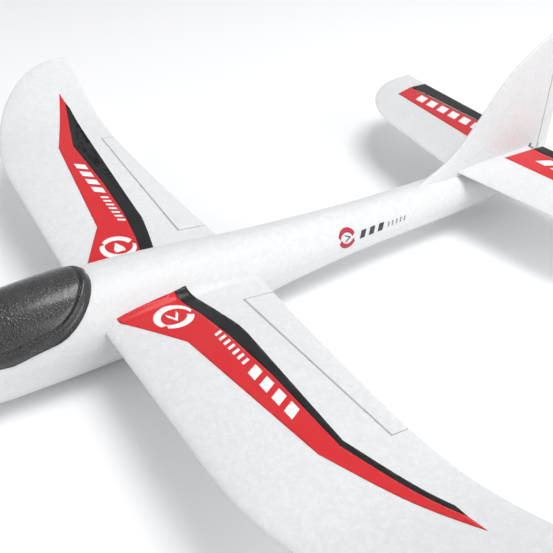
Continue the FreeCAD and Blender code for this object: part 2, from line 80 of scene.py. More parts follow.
class GliderStickers(bpy.types.PropertyGroup):
    red: FloatVectorProperty(name="Red", description="Red of the stickers", subtype="COLOR",
                             size=4, default=(0.62, 0.022, 0.028, 1.0))
    black: FloatVectorProperty(name="Black", description="Black of the stickers", subtype="COLOR",
                               size=4, default=(0.012, 0.012, 0.014, 1.0))
    white: FloatVectorProperty(name="White", description="White of the marks", subtype="COLOR",
                               size=4, default=(0.9, 0.88, 0.88, 1.0))
    lift: FloatProperty(name="Lift", description="Height of a sticker above the foam", unit="LENGTH",
                        default=0.0002)
    weave: FloatProperty(name="Grid", description="Spacing of the grid that a sticker is laid with",
                         unit="LENGTH", default=0.003)


class GliderCanopy(bpy.types.PropertyGroup):
    colour: FloatVectorProperty(name="Canopy colour", description="Colour of the canopy", subtype="COLOR",
                                size=4, default=(0.016, 0.016, 0.017, 1.0))
    grain: FloatProperty(name="Grain size", description="Size of the moulded grain", unit="LENGTH",
                         default=0.0022)
    skirt: FloatProperty(name="Skirt", description="How far the rim reaches down the sides of the body",
                         unit="LENGTH", default=0.006)


class GliderStage(bpy.types.PropertyGroup):
    camera_place: FloatVectorProperty(name="Camera place", description="Where the camera stands",
                                      unit="LENGTH", size=3, default=(0.4813, -0.3119, 0.4358))
    azimuth: FloatProperty(name="Azimuth", description="Camera direction about the upright axis",
                           unit="ROTATION", default=math.radians(57.88))
    elevation: FloatProperty(name="Elevation", description="Camera height angle", unit="ROTATION",
                             default=math.radians(36.7))
    lens: FloatProperty(name="Lens", description="Focal length in millimetres", default=47.3)
    floor: FloatVectorProperty(name="Floor colour", description="Colour of the floor", subtype="COLOR",
                               size=4, default=(0.93, 0.93, 0.935, 1.0))


# ------------------------------------------------------------------ node helpers

def new_group(name, inputs, outputs):
    """Shader group with named sockets; each input is (name, kind, default), each output (name, kind)."""
    group = bpy.data.node_groups.new(name, "ShaderNodeTree")
    for label, kind, default in inputs:
        socket = group.interface.new_socket(name=label, in_out="INPUT", socket_type=kind)
        socket.default_value = default
    for label, kind in outputs:
        group.interface.new_socket(name=label, in_out="OUTPUT", socket_type=kind)
    return group, group.nodes.new("NodeGroupInput"), group.nodes.new("NodeGroupOutput")


def add(tree, kind, **values):
    """New node with its plain properties set."""
    node = tree.nodes.new(kind)
    for key, value in values.items():
        setattr(node, key, value)
    return node


def feed(tree, value, socket):
    """Gives a socket a plain value, or links another node's output to it."""
    if isinstance(value, bpy.types.NodeSocket):
        tree.links.new(value, socket)
    else:
        socket.default_value = value


def math_node(tree, operation, a, b):
    """Sum or product of two values."""
    node = add(tree, "ShaderNodeMath", operation=operation)
    feed(tree, a, node.inputs[0])
    feed(tree, b, node.inputs[1])
    return node.outputs[0]


def mix_colour(tree, factor, a, b):
    """Colour between a and b."""
    node = add(tree, "ShaderNodeMix", data_type="RGBA")
    for slot, value in ((0, factor), (6, a), (7, b)):
        feed(tree, value, node.inputs[slot])
    return node.outputs[2]


def ramp(tree, value, low, high, start=0.0, end=1.0):
    """Value spread from low..high to start..end, and held at the ends."""
    node = add(tree, "ShaderNodeMapRange", clamp=True)
    for slot, number in enumerate((value, low, high, start, end)):
        feed(tree, number, node.inputs[slot])
    return node.outputs[0]


def object_point(tree):
    """The object's own coordinates."""
    return add(tree, "ShaderNodeTexCoord").outputs["Object"]


def warped(group, point, fineness, amount):
    """Point moved aside by noise, so that the edges of cells aren't straight."""
    noise = add(group, "ShaderNodeTexNoise")
    noise.inputs["Scale"].default_value = fineness
    noise.inputs["Detail"].default_value = 2.0
    group.links.new(point, noise.inputs["Vector"])
    shift = add(group, "ShaderNodeVectorMath", operation="SCALE")
    group.links.new(noise.outputs["Color"], shift.inputs[0])
    feed(group, amount, shift.inputs["Scale"])
    moved = add(group, "ShaderNodeVectorMath", operation="ADD")
    group.links.new(point, moved.inputs[0])
    group.links.new(shift.outputs[0], moved.inputs[1])
    return moved.outputs[0]


def cell_nodes(group, point, scale, *features):
    """Cell textures of the given kinds that share one set of cells."""
    nodes = [add(group, "ShaderNodeTexVoronoi", feature=feature) for feature in features]
    for node in nodes:
        group.links.new(point, node.inputs["Vector"])
        group.links.new(scale, node.inputs["Scale"])
    return nodes


def beads_group():
    """Fused foam beads: cell lines as a height, and a slight change of shade from bead to bead."""
    group, start, end = new_group(
        "Foam beads",
        [("Point", "NodeSocketVector", (0, 0, 0)), ("Scale", "NodeSocketFloat", 320.0),
         ("Warp", "NodeSocketFloat", 0.25)],
        [("Height", "NodeSocketFloat"), ("Shade", "NodeSocketFloat"), ("Soil", "NodeSocketFloat")])
    amount = math_node(group, "MULTIPLY", start.outputs["Warp"], 0.01)
    point = warped(group, start.outputs["Point"], 140.0, amount)
    lines, tint = cell_nodes(group, point, start.outputs["Scale"], "DISTANCE_TO_EDGE", "F1")
    group.links.new(ramp(group, lines.outputs["Distance"], 0.0, 0.16), end.inputs["Height"])
    grey = add(group, "ShaderNodeSeparateColor")
    group.links.new(tint.outputs["Color"], grey.inputs[0])
    group.links.new(grey.outputs[0], end.inputs["Shade"])
    soil = add(group, "ShaderNodeTexNoise")
    soil.inputs["Scale"].default_value = 18.0
    soil.inputs["Detail"].default_value = 5.0
    group.links.new(start.outputs["Point"], soil.inputs["Vector"])
    group.links.new(ramp(group, soil.outputs["Fac"], 0.4, 0.75), end.inputs["Soil"])
    return group


def scuff_group():
    """Fine scratches and dust, as a roughness change and a faint lightening."""
    group, start, end = new_group(
        "Fine scuffs",
        [("Point", "NodeSocketVector", (0, 0, 0)), ("Scale", "NodeSocketFloat", 60.0)],
        [("Rough", "NodeSocketFloat"), ("Dust", "NodeSocketFloat"), ("Height", "NodeSocketFloat")])
    wide = add(group, "ShaderNodeTexNoise")
    fine = add(group, "ShaderNodeTexNoise")
    for node, factor, detail in ((wide, 1.0, 4.0), (fine, 14.0, 3.0)):
        node.inputs["Detail"].default_value = detail
        scale = math_node(group, "MULTIPLY", start.outputs["Scale"], factor)
        group.links.new(scale, node.inputs["Scale"])
        group.links.new(start.outputs["Point"], node.inputs["Vector"])
    group.links.new(ramp(group, wide.outputs["Fac"], 0.35, 0.7), end.inputs["Dust"])
    group.links.new(ramp(group, wide.outputs["Fac"], 0.3, 0.7, -0.08, 0.1), end.inputs["Rough"])
    group.links.new(fine.outputs["Fac"], end.inputs["Height"])
    return group


def grain_group():
    """Moulded leather-like grain: soft cells with creases between them."""
    group, start, end = new_group(
        "Moulded grain",
        [("Point", "NodeSocketVector", (0, 0, 0)), ("Scale", "NodeSocketFloat", 450.0)],
        [("Height", "NodeSocketFloat"), ("Crease", "NodeSocketFloat")])
    point = warped(group, start.outputs["Point"], 220.0, 0.003)
    cells, creases = cell_nodes(group, point, start.outputs["Scale"], "SMOOTH_F1", "DISTANCE_TO_EDGE")
    cells.inputs["Smoothness"].default_value = 0.35
    dome = ramp(group, cells.outputs["Distance"], 0.0, 0.8, 1.0, 0.0)
    line = ramp(group, creases.outputs["Distance"], 0.0, 0.18)
    group.links.new(math_node(group, "MULTIPLY", dome, line), end.inputs["Height"])
    group.links.new(line, end.inputs["Crease"])
    return group


MAKERS = {"beads": beads_group, "scuffs": scuff_group, "grain": grain_group}
GROUPS = {}


def use_group(tree, name, **values):
    """Places a shared group in a material and feeds it the object's own coordinates."""
    if name not in GROUPS:
        GROUPS[name] = MAKERS[name]()
    node = add(tree, "ShaderNodeGroup", node_tree=GROUPS[name])
    tree.links.new(object_point(tree), node.inputs["Point"])
    for key, value in values.items():
        node.inputs[key].default_value = value
    return node


# ------------------------------------------------------------------ materials

def new_material(name, colour, roughness, metallic=0.0, coat=0.0):
    """Material with plain shader values, and the nodes to hang detail on."""
    material = bpy.data.materials.new(name)
    material.use_nodes = True
    tree = material.node_tree
    shader = tree.nodes["Principled BSDF"]
    shader.inputs["Base Color"].default_value = colour
    shader.inputs["Roughness"].default_value = roughness
    shader.inputs["Metallic"].default_value = metallic
    shader.inputs["Coat Weight"].default_value = coat
    material.diffuse_color = colour
    return material, tree, shader


def set_bump(tree, shader, height, strength, distance):
    """Small relief from a height, its depth in metres."""
    bump = add(tree, "ShaderNodeBump")
    bump.inputs["Strength"].default_value = strength
    bump.inputs["Distance"].default_value = distance
    tree.links.new(height, bump.inputs["Height"])
    tree.links.new(bump.outputs[0], shader.inputs["Normal"])


def shade(colour, factor):
    """Darker version of a colour."""
    return (colour[0] * factor, colour[1] * factor, colour[2] * factor, 1.0)


def dusty(colour):
    """The colour under a film of dust."""
    return tuple(min(1.0, c * 0.9 + 0.05) for c in colour[:3]) + (1.0,)


def foam_material(name, colour, bead, depth):
    """Expanded foam, moulded: faint beads, lines between them and a little handling dirt."""
    material, tree, shader = new_material(name, colour, 0.5)
    beads = use_group(tree, "beads", Scale=1.0 / bead)
    tone = mix_colour(tree, beads.outputs["Shade"], shade(colour, 0.93), colour)
    lines = ramp(tree, beads.outputs["Height"], 0.0, 0.6, 1.0, 0.0)
    tone = mix_colour(tree, math_node(tree, "MULTIPLY", lines, 0.3), tone, shade(colour, 0.86))
    soil = math_node(tree, "MULTIPLY", beads.outputs["Soil"], 0.22)
    tone = mix_colour(tree, soil, tone, shade(colour, 0.9))
    tree.links.new(tone, shader.inputs["Base Color"])
    tree.links.new(ramp(tree, beads.outputs["Shade"], 0.0, 1.0, 0.42, 0.6), shader.inputs["Roughness"])
    shader.inputs["Subsurface Weight"].default_value = 0.12
    shader.inputs["Subsurface Radius"].default_value = (0.004, 0.004, 0.004)
    shader.inputs["Subsurface Scale"].default_value = 1.0
    set_bump(tree, shader, beads.outputs["Height"], 0.55, depth)
    return material


def sticker_material(name, colour):
    """Printed vinyl pressed on foam: the beads show faintly through its gloss."""
    material, tree, shader = new_material(name, colour, 0.33, coat=0.08)
    shader.inputs["Specular IOR Level"].default_value = 0.22
    scuffs = use_group(tree, "scuffs", Scale=55.0)
    beads = use_group(tree, "beads", Scale=330.0)
    dust = math_node(tree, "MULTIPLY", scuffs.outputs["Dust"], 0.12)
    tree.links.new(mix_colour(tree, dust, colour, dusty(colour)), shader.inputs["Base Color"])
    rough = math_node(tree, "ADD", scuffs.outputs["Rough"], 0.36)
    tree.links.new(rough, shader.inputs["Roughness"])
    set_bump(tree, shader, beads.outputs["Height"], 0.35, 0.00003)
    return material


def plastic_material(name, colour, roughness):
    """Moulded plastic with fine scratches and a little dust."""
    material, tree, shader = new_material(name, colour, roughness)
    scuffs = use_group(tree, "scuffs", Scale=90.0)
    dust = math_node(tree, "MULTIPLY", scuffs.outputs["Dust"], 0.25)
    tree.links.new(mix_colour(tree, dust, colour, dusty(colour)), shader.inputs["Base Color"])
    rough = math_node(tree, "ADD", scuffs.outputs["Rough"], roughness)
    tree.links.new(rough, shader.inputs["Roughness"])
    set_bump(tree, shader, scuffs.outputs["Height"], 0.4, 0.00002)
    return material


def metal_material(name, colour, roughness):
    """Bare metal with fine scratches."""
    material, tree, shader = new_material(name, colour, roughness, metallic=1.0)
    scuffs = use_group(tree, "scuffs", Scale=160.0)
    rough = math_node(tree, "ADD", scuffs.outputs["Rough"], roughness)
    tree.links.new(rough, shader.inputs["Roughness"])
    tone = mix_colour(tree, scuffs.outputs["Dust"], colour, shade(colour, 0.8))
    tree.links.new(tone, shader.inputs["Base Color"])
    set_bump(tree, shader, scuffs.outputs["Height"], 0.3, 0.00001)
    return material


def wood_material(name, light, dark):
    """Thin plywood: stretched rings and fine pores."""
    material, tree, shader = new_material(name, light, 0.65)
    place = add(tree, "ShaderNodeMapping")
    place.inputs["Scale"].default_value = (3.0, 0.35, 3.0)
    tree.links.new(object_point(tree), place.inputs["Vector"])
    rings = add(tree, "ShaderNodeTexNoise")
    rings.inputs["Scale"].default_value = 160.0
    rings.inputs["Detail"].default_value = 6.0
    tree.links.new(place.outputs[0], rings.inputs["Vector"])
    tone = mix_colour(tree, ramp(tree, rings.outputs["Fac"], 0.35, 0.7), light, dark)
    tree.links.new(tone, shader.inputs["Base Color"])
    set_bump(tree, shader, rings.outputs["Fac"], 0.4, 0.0001)
    return material


def canopy_material(name, colour, grain):
    """Black paint over moulded grain: deep creases, glossy tops, a trace of dust in patches."""
    material, tree, shader = new_material(name, colour, 0.3, coat=0.75)
    cells = use_group(tree, "grain", Scale=1.0 / grain)
    scuffs = use_group(tree, "scuffs", Scale=40.0)
    worn = math_node(tree, "MULTIPLY", scuffs.outputs["Dust"], 0.5)
    tree.links.new(mix_colour(tree, worn, colour, (0.034, 0.034, 0.036, 1.0)), shader.inputs["Base Color"])
    rough = ramp(tree, cells.outputs["Crease"], 0.0, 1.0, 0.46, 0.24)
    tree.links.new(math_node(tree, "ADD", rough, scuffs.outputs["Rough"]), shader.inputs["Roughness"])
    shader.inputs["Coat Roughness"].default_value = 0.2
    set_bump(tree, shader, cells.outputs["Height"], 0.8, 0.0005)
    return material


def dress(material, *names):
    """Gives nodes of the frame their material."""
    for name in names:
        slots = NODES[name].data.materials
        slots.clear()
        slots.append(material)


# ------------------------------------------------------------------ pieces laid on the surface

def surface_of(*names):
    """Search tree over the skins of some nodes or pieces."""
    points = []
    faces = []
    for name in names:
        mesh = bpy.data.objects[name].data
        base = len(points)
        points.extend(vertex.co.copy() for vertex in mesh.vertices)
        faces.extend([base + index for index in polygon.vertices] for polygon in mesh.polygons)
    return BVHTree.FromPolygons(points, faces)


def from_above(skin):
    """Places a plan point on the skin below it."""
    def place(u, v):
        hit = skin.ray_cast(Vector((u, v, ABOVE)), DOWN)
        return hit if hit[0] else skin.find_nearest(Vector((u, v, WING_LEVEL)))
    return place


def round_boom(skin, side, centre_z, radius, start_angle):
    """Wraps a flat mark round the boom: u runs aft along it, v runs up round it."""
    def place(u, v):
        angle = start_angle + v / radius
        out = Vector((side * math.cos(angle), 0, math.sin(angle)))
        return skin.ray_cast(Vector((0, u, centre_z)) + out * 0.2, -out)
    return place


def cut_grid(mesh, step):
    """Cuts a flat mesh along a square grid, so that it can follow a curved skin."""
    for axis in (0, 1):
        low = min(vertex.co[axis] for vertex in mesh.verts)
        high = max(vertex.co[axis] for vertex in mesh.verts)
        for i in range(math.ceil(low / step), math.floor(high / step) + 1):
            normal = Vector((1 - axis, axis, 0))
            everything = mesh.verts[:] + mesh.edges[:] + mesh.faces[:]
            bmesh.ops.bisect_plane(mesh, geom=everything, dist=1e-7, plane_co=normal * (i * step),
                                   plane_no=normal)


def new_piece(name, mesh, *paints):
    """Object made from a finished mesh, shaded smooth and painted."""
    data = bpy.data.meshes.new(name)
    mesh.to_mesh(data)
    mesh.free()
    data.shade_smooth()
    for paint in paints:
        data.materials.append(paint)
    piece = bpy.data.objects.new(name, data)
    bpy.context.collection.objects.link(piece)
    return piece


def band(mesh, a, b, flip=False):
    """Faces between two closed rings with the same number of points."""
    faces = []
    for i in range(len(a)):
        j = (i + 1) % len(a)
        quad = [a[i], a[j], b[j], b[i]]
        faces.append(mesh.faces.new(quad[::-1] if flip else quad))
    return faces


def lay(name, outlines, place, material, body, lift, step):
    """Thin sheet with the given flat outlines, laid on a skin and made solid."""
    mesh = bmesh.new()
    for outline in outlines:
        mesh.faces.new([mesh.verts.new((u, v, 0)) for u, v in outline])
    bmesh.ops.triangulate(mesh, faces=mesh.faces[:])
    cut_grid(mesh, step)
    outward = {}
    for vertex in mesh.verts:
        spot, normal = place(vertex.co.x, vertex.co.y)[:2]
        vertex.co = spot + normal * lift
        outward[vertex] = normal
    for face in mesh.faces:
        face.normal_update()
        if face.normal.dot(outward[face.verts[0]]) < 0:
            face.normal_flip()
    piece = new_piece(name, mesh, material)
    solid = piece.modifiers.new("sheet", "SOLIDIFY")
    solid.thickness = STICKER_THICKNESS
    solid.offset = 0.0
    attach(piece, body)


def scaled(outline, side=1.0):
    """Outline in millimetres as one in metres, mirrored for the other side."""
    return [(side * x * MM, y * MM) for x, y in outline]


def bars(start, end, low, high, count, fill, slant):
    """Row of leaning bars between two places along a line; low and high bound them across it."""
    result = []
    pitch = (end - start) / count
    for i in range(count):
        a = start + i * pitch
        b = a + pitch * fill
        result.append([(a, low), (b, low), (b + slant, high), (a + slant, high)])
    return result


def arc(cx, cy, radius, turn):
    """Points on a circle at the given angles."""
    return [(cx + radius * math.cos(a), cy + radius * math.sin(a)) for a in turn]


def crescent(cx, cy, radius, inner, shift_x, shift_y, first, last):
    """Part of a ring, from first to last degrees, whose inner circle is moved aside."""
    steps = 28
    turn = [math.radians(first + (last - first) * i / steps) for i in range(steps + 1)]
    return arc(cx, cy, radius, turn) + arc(cx + shift_x, cy + shift_y, inner, turn[::-1])


def chevron(cx, cy, size, width):
    """Plain arrow head."""
    back, tip, rise = cx - size, cx + 0.35 * size, 0.7 * size
    return [(back, cy - rise), (tip, cy), (back, cy + rise),
            (back + width, cy + rise), (tip + width, cy), (back + width, cy - rise)]


# outlines on the port side, in millimetres
WING_RED_FRONT = [(37.0, -183.6), (95.0, -149.0), (245.3, -133.0), (347.3, -94.7)]
WING_RED_BACK = [(333.0, -93.8), (246.3, -117.0), (163.9, -115.5), (104.8, -118.0), (66.3, -123.1),
                 (32.5, -130.6)]
WING_BLACK_BACK = [(31.0, -119.4), (40.0, -116.0), (66.0, -109.9), (88.3, -105.4), (96.0, -104.2),
                   (108.0, -104.0), (243.0, -112.4), (321.8, -92.3)]
TAIL_RED = [(11.6, 276.0), (187.0, 292.0), (196.5, 320.5), (11.6, 320.5)]
TAIL_BLACK = [(11.9, 322.1), (196.5, 322.1), (196.5, 345.8), (11.9, 335.6)]
TAIL_BEVEL = [(11.9, 321.6), (196.5, 321.6), (196.5, 322.1), (11.9, 322.1)]


# ------------------------------------------------------------------ operators

class GLIDER_OT_foam(bpy.types.Operator):
    """Foam surface of wing, fuselage, tail and control surfaces"""
    bl_idname = "glider.foam"
    bl_label = "Foam surfaces"

    def execute(self, context):
        values = context.scene.glider_foam
        foam = foam_material("white foam", tuple(values.colour), values.bead, values.bead_depth)
        names = ["wing_left_panel", "wing_right_panel", "stabiliser", "rudder",
                 "fuselage_left_half", "fuselage_right_half", "elevator_left", "elevator_right",
                 "aileron_left", "aileron_right"]
        dress(foam, *names)
        return {"FINISHED"}


class GLIDER_OT_root_fillets(bpy.types.Operator):
    """Hollow blend between each wing panel and the body"""
    bl_idname = "glider.root_fillets"
    bl_label = "Root fillets"

    def execute(self, context):
        values = context.scene.glider_foam
        for side, word in ((1.0, "left"), (-1.0, "right")):
            fillet = root_fillet(side, word, values.fillet, bpy.data.materials["white foam"])
            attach(fillet, "airframe")
        return {"FINISHED"}


def wing_corner(wing, body, side, y):
    """Way out and height of the place where the wing's skin comes out of the body's."""
    nearest, farthest, stride = 0.028, 0.05, 0.0001
    x = nearest
    while x < farthest:
        start = Vector((side * x, y, ABOVE))
        on_wing = wing.ray_cast(start, DOWN)[0]
        on_body = body.ray_cast(start, DOWN)[0]
        if on_wing and (on_body is None or on_wing.z >= on_body.z):
            return x, on_wing
        x += stride
    raise RuntimeError("the wing doesn't come out of the body here")


def root_fillet(side, word, spread, paint):
    """Solid strip that lies in the corner between wing and body, fading out at both ends."""
    wing = surface_of(f"wing_{word}_panel")
    body = surface_of(f"fuselage_{word}_half")
    inboard = Vector((-side, 0, 0))
    front, rear = -0.19, -0.05
    rows, steps = 48, 8
    outboard = 0.2              # start of the search for the body's side
    sink = 0.0001               # the strip's edges end inside the skins
    root = 0.0012               # its back lies this far inside the corner
    mesh = bmesh.new()
    rings = []
    for i in range(rows + 1):
        y = front + (rear - front) * i / rows
        x, corner = wing_corner(wing, body, side, y)
        room = spread * max(0.01, math.sin(math.pi * i / rows)) ** 0.7
        outer = wing.ray_cast(Vector((side * (x + room), y, ABOVE)), DOWN)[0] + DOWN * sink
        upper = body.ray_cast(Vector((side * outboard, y, corner.z + room)), inboard)[0] + inboard * sink
        ring = []
        for step in range(steps + 1):
            t = step / steps
            ring.append(outer * (1 - t) ** 2 + corner * (2 * t * (1 - t)) + upper * t ** 2)
        ring.append(corner + (inboard + DOWN) * root)
        rings.append([mesh.verts.new(point) for point in ring])
    for a, b in zip(rings, rings[1:]):
        band(mesh, a, b)
    mesh.faces.new(rings[0])
    mesh.faces.new(rings[-1][::-1])
    bmesh.ops.recalc_face_normals(mesh, faces=mesh.faces[:])
    return new_piece(f"wing_fillet_{word}", mesh, paint)


class GLIDER_OT_wing_stickers(bpy.types.Operator):
    """Red and black flash with its marks on each wing panel"""
    bl_idname = "glider.wing_stickers"
    bl_label = "Wing stickers"

    def execute(self, context):
        values = context.scene.glider_stickers
        red = sticker_material("red sticker", tuple(values.red))
        black = sticker_material("black sticker", tuple(values.black))
        white = sticker_material("white mark", tuple(values.white))
        for side, word in ((1.0, "left"), (-1.0, "right")):
            skins = surface_of(f"wing_{word}_panel", f"fuselage_{word}_half", f"wing_fillet_{word}")
            place = from_above(skins)
            flash = scaled(WING_RED_FRONT + WING_RED_BACK, side)
            edge = scaled(WING_BLACK_BACK + WING_RED_BACK, side)
            lay(f"wing_flash_red_{word}", [flash], place, red, "airframe", values.lift, values.weave)
            lay(f"wing_flash_black_{word}", [edge], place, black, "airframe", values.lift, values.weave)
            cx, cy = 58.0, -143.5
            marks = [crescent(cx, cy, 16.5, 12.6, 2.2, 1.4, 95, 300),
                     crescent(cx, cy, 16.5, 12.8, -2.0, -1.4, -40, 70),
                     chevron(cx + 0.5, cy, 7.0, 4.6)]
            marks += bars(97.0, 146.0, -127.5, -120.5, 7, 0.45, -3.0)
            marks += bars(152.0, 216.0, -129.5, -119.5, 4, 0.62, -6.0)
            lay(f"wing_marks_{word}", [scaled(mark, side) for mark in marks], place, white, "airframe",
                values.lift + MARK_RAISE, values.weave)
        return {"FINISHED"}


class GLIDER_OT_tail_stickers(bpy.types.Operator):
    """Red and black stickers with their marks on the tail"""
    bl_idname = "glider.tail_stickers"
    bl_label = "Tail stickers"

    def execute(self, context):
        values = context.scene.glider_stickers
        red = bpy.data.materials["red sticker"]
        black = bpy.data.materials["black sticker"]
        white = bpy.data.materials["white mark"]
        for side, word in ((1.0, "left"), (-1.0, "right")):
            fixed = from_above(surface_of("stabiliser"))
            moving = from_above(surface_of(f"elevator_{word}"))
            lay(f"tail_red_{word}", [scaled(TAIL_RED, side)], fixed, red, "airframe",
                values.lift, values.weave)
            lay(f"tail_black_{word}", [scaled(TAIL_BLACK, side), scaled(TAIL_BEVEL, side)], moving, black,
                "elevator", values.lift, values.weave)
            marks = bars(34.0, 168.0, 299.0, 315.0, 7, 0.66, 7.0)
            lay(f"tail_marks_{word}", [scaled(mark, side) for mark in marks], fixed, white, "airframe",
                values.lift + MARK_RAISE, values.weave)
        return {"FINISHED"}


class GLIDER_OT_boom_badges(bpy.types.Operator):
    """Round badge and leaning bars on each side of the boom"""
    bl_idname = "glider.boom_badges"
    bl_label = "Boom badges"

    def execute(self, context):
        values = context.scene.glider_stickers
        red = sticker_material("badge red", (0.45, 0.03, 0.06, 1.0))
        dark = sticker_material("badge dark", (0.05, 0.055, 0.06, 1.0))
        grey = sticker_material("badge grey", (0.3, 0.3, 0.32, 1.0))
        for side, word in ((1.0, "left"), (-1.0, "right")):
            skin = surface_of(f"fuselage_{word}_half")
            place = round_boom(skin, side, 0.0392, 0.0255, math.radians(20.0))
            aft = round_boom(skin, side, 0.0386, 0.0245, math.radians(16.5))
            ring = [crescent(55.0, 0.0, 10.2, 7.4, -0.6, -2.0, 15, 165),
                    crescent(55.0, 0.0, 10.2, 7.8, 0.6, 2.2, 200, 330)]
            mark = [chevron(56.0, 0.0, 4.6, 2.2)]
            bold = bars(70.0, 104.0, -3.4, 4.0, 3, 0.55, 3.4)
            fine = bars(106.0, 132.0, -2.2, 2.6, 5, 0.35, 1.6)
            for name, outlines, spot, paint in (
                    ("badge_ring", ring, place, red), ("badge_mark", mark, place, dark),
                    ("badge_bars", bold, aft, dark), ("badge_fine_bars", fine, aft, grey)):
                lay(f"{name}_{word}", [scaled(outline) for outline in outlines], spot, paint, "airframe",
                    values.lift, BADGE_GRID)
        return {"FINISHED"}


class GLIDER_OT_canopy(bpy.types.Operator):
    """Black canopy with its lip, groove and moulded grain"""
    bl_idname = "glider.canopy"
    bl_label = "Canopy"

    def execute(self, context):
        values = context.scene.glider_canopy
        paint = canopy_material("black canopy", tuple(values.colour), values.grain)
        finer = 0.6
        lip_paint = canopy_material("canopy lip", tuple(values.colour), finer * values.grain)
        cover = canopy_cover(paint, lip_paint, values.skirt)
        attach(cover, "canopy")
        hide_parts("canopy_shell")
        dress(paint, "canopy_shell")
        return {"FINISHED"}


# lip, groove and edge of the dome, in millimetres: way in from the outline and height over the node's skin
LIP_PROFILE = [(0.0, -1.9), (0.35, -1.3), (0.9, -0.95), (1.6, -0.8), (3.0, -0.75), (3.7, -0.95), (4.1, -1.7),
               (4.6, -2.1), (5.1, -1.8), (5.7, -0.9), (6.6, -0.35), (8.0, 0.0)]
LIP_LEVELS = 6              # bands of the profile that have the finer grain
AROUND = 176
DOME_RINGS = 14
SIDE_NARROWING = 0.7        # how much narrower the lip gets along the sides


def canopy_outline():
    """Function from a turn, 0 to 1, to a point of the canopy's outline and the spine point it belongs to."""
    low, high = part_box("canopy_shell")
    half = 0.5 * (high[0] - low[0]) - OUTLINE_SLACK
    rear_round, front_round = 42.0 * MM, 66.0 * MM
    rear_c = high[1] - OUTLINE_SLACK - rear_round
    front_c = low[1] + OUTLINE_SLACK + front_round

    def edge(turn):
        share = 4.0 * turn
        part = int(share) % 4
        share -= int(share)
        angle = share * math.pi
        if part == 0:
            return (Vector((half * math.cos(angle), rear_c + rear_round * math.sin(angle))),
                    Vector((0, rear_c)))
        if part == 1:
            y = rear_c + (front_c - rear_c) * share
            return Vector((-half, y)), Vector((0, y))
        if part == 2:
            return (Vector((-half * math.cos(angle), front_c - front_round * math.sin(angle))),
                    Vector((0, front_c)))
        y = front_c + (rear_c - front_c) * share
        return Vector((half, y)), Vector((0, y))
    return edge


def probe(skin, flat, spine, height):
    """Skin above or below a plan point; one just outside the outline is moved inwards."""
    aim = Vector((0, 0, -1.0 if height > 0 else 1.0))
    stride = 0.0001
    for step in range(40):
        place = flat + (spine - flat).normalized() * (stride * step)
        spot, normal = skin.ray_cast(Vector((place.x, place.y, height)), aim)[:2]
        if spot:
            return Vector((flat.x, flat.y, spot.z)), normal
    raise RuntimeError("the canopy has no skin at its outline")


def canopy_ring(mesh, skin, edge, depth, drop):
    """Upper and lower ring of the shell: drop is a height where depth is given, else a share of the dome."""
    steepest, thinnest = 0.05, 0.0005
    top_ring = []
    bottom_ring = []
    for i in range(AROUND):
        rim, spine = edge(i / AROUND)
        reach = (spine - rim).length
        narrow = 1.0 - SIDE_NARROWING * abs(rim.x - spine.x) / reach
        if depth is not None:
            inward = depth * narrow * MM / reach
            height = drop * MM
        else:
            start = LIP_PROFILE[-1][0] * narrow * MM / reach
            inward = start + (1.0 - start) * drop
            height = 0.0
        flat = rim + (spine - rim) * inward
        spot, normal = probe(skin, flat, spine, ABOVE)
        if normal.z < steepest:
            normal = -DOWN
        moved = spot + normal * height
        below = probe(skin, flat, spine, -ABOVE)[0]
        moved.z = max(moved.z, below.z + thinnest)
        top_ring.append(mesh.verts.new((flat.x, flat.y, moved.z) if depth == 0.0 else moved))
        bottom_ring.append(mesh.verts.new(below))
    return top_ring, bottom_ring


def canopy_rim(mesh, edge, ring, skirt):
    """Lower and upper ring of the rim, walked outwards over the body's skin from the shell's lowest ring."""
    body = surface_of("fuselage_left_half", "fuselage_right_half")
    least, strides = 0.0015, 12
    over_skin, rim_height = 0.00015, 0.0009
    outer = []
    under = []
    for i in range(AROUND):
        rim, spine = edge(i / AROUND)
        out = (rim - spine).normalized()
        side = Vector((-out.y, out.x, 0)).normalized()
        heading = Vector((out.x, out.y, 0)).normalized()
        reach = (skirt - least) * abs(out.x) ** 0.7
        spot = ring[i].co + heading * least
        for step in range(strides):
            spot, normal = body.find_nearest(spot)[:2]
            heading = (heading - normal * heading.dot(normal)).normalized()
            spot = spot + heading * reach / strides
        spot = body.find_nearest(spot)[0]
        away = heading.cross(side)
        outer.append(mesh.verts.new(spot + away * rim_height))
        under.append(mesh.verts.new(spot + away * over_skin))
    return under, outer


def canopy_cover(paint, lip_paint, skirt):
    """Closed shell over the equipment bay: lip band, groove and dome on top, plain below."""
    skin = surface_of("canopy_shell")
    edge = canopy_outline()
    mesh = bmesh.new()
    levels = LIP_PROFILE + [(None, i / DOME_RINGS) for i in range(1, DOME_RINGS)]
    tops, bottoms = zip(*[canopy_ring(mesh, skin, edge, depth, drop) for depth, drop in levels])
    lip_faces = []
    for level, (a, b) in enumerate(zip(tops, tops[1:])):
        faces = band(mesh, a, b)
        if level < LIP_LEVELS:
            lip_faces += faces
    for a, b in zip(bottoms, bottoms[1:]):
        band(mesh, a, b, flip=True)
    under, outer = canopy_rim(mesh, edge, bottoms[0], skirt)
    for a, b in ((bottoms[0], under), (under, outer), (outer, tops[0])):
        lip_faces += band(mesh, a, b)
    mesh.faces.new(tops[-1])
    mesh.faces.new(bottoms[-1][::-1])
    bmesh.ops.triangulate(mesh, faces=[face for face in mesh.faces if len(face.verts) > 4])
    for face in lip_faces:
        face.material_index = 1
    bmesh.ops.recalc_face_normals(mesh, faces=mesh.faces[:])
    return new_piece("canopy_cover", mesh, paint, lip_paint)


